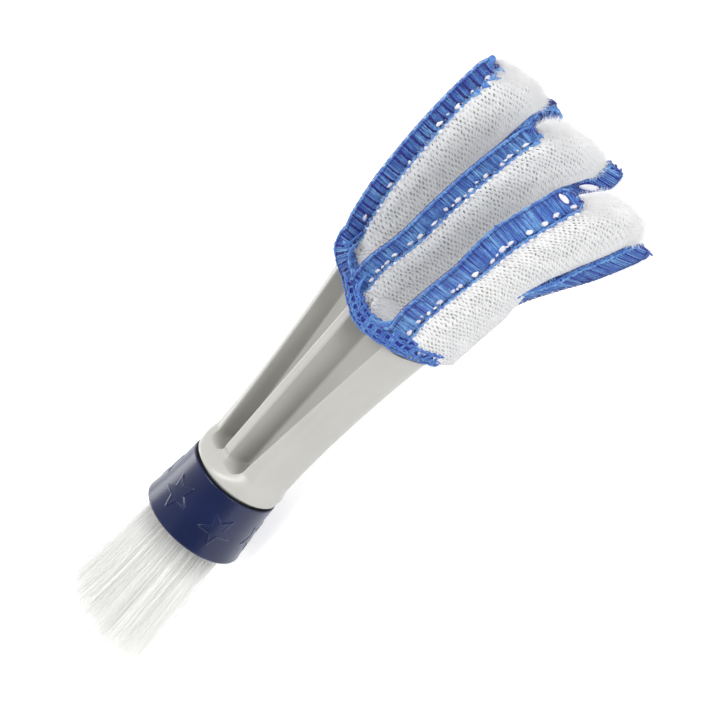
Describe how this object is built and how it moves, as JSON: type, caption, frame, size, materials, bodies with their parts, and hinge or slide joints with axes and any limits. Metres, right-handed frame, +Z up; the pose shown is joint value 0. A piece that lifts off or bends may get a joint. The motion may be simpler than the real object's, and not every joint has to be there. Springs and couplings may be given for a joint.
{
  "type": "venetian blind brush",
  "caption": "Two-ended hand brush for blind slats: a fork of flat fingers in a knitted pull-on cover, a ribbed plastic grip, and a round tuft of bristles in a flared collar.",
  "frame": {"origin": "centre of the bounding box at the floor, with the brush lying on its back on the collar's rim and the back corners of the finger tips", "axes": "+X along the brush from the bristles to the finger tips, +Y towards the left finger, +Z up towards the brush's front"},
  "size_m": [0.163, 0.0492, 0.0359],
  "materials": {
    "grey_plastic": "satin warm grey",
    "navy_plastic": "satin navy",
    "white_plastic": "plain white",
    "clear_bristle": "translucent white filament",
    "white_knit": "knitted microfibre",
    "blue_thread": "overlocked yarn"
  },
  "bodies": {
    "handle": {"handle": "grey_plastic", "collar": "navy_plastic", "bristle_cup": "white_plastic", "bristle_tuft": "clear_bristle"},
    "cover": {"left_pocket": "white_knit", "middle_pocket": "white_knit", "right_pocket": "white_knit", "left_front_seam": "blue_thread", "left_back_seam": "blue_thread", "middle_front_seam": "blue_thread", "middle_back_seam": "blue_thread", "right_front_seam": "blue_thread", "right_back_seam": "blue_thread", "mouth_hem": "blue_thread"}
  },
  "joints": [
    {"name": "cover_slide", "type": "slide", "parent": "handle", "child": "cover", "axis": [0.9938, 0, 0.111], "range_m": [0, 0.055], "deforming": ["left_pocket", "middle_pocket", "right_pocket", "left_front_seam", "left_back_seam", "middle_front_seam", "middle_back_seam", "right_front_seam", "right_back_seam", "mouth_hem"]}
  ]
}
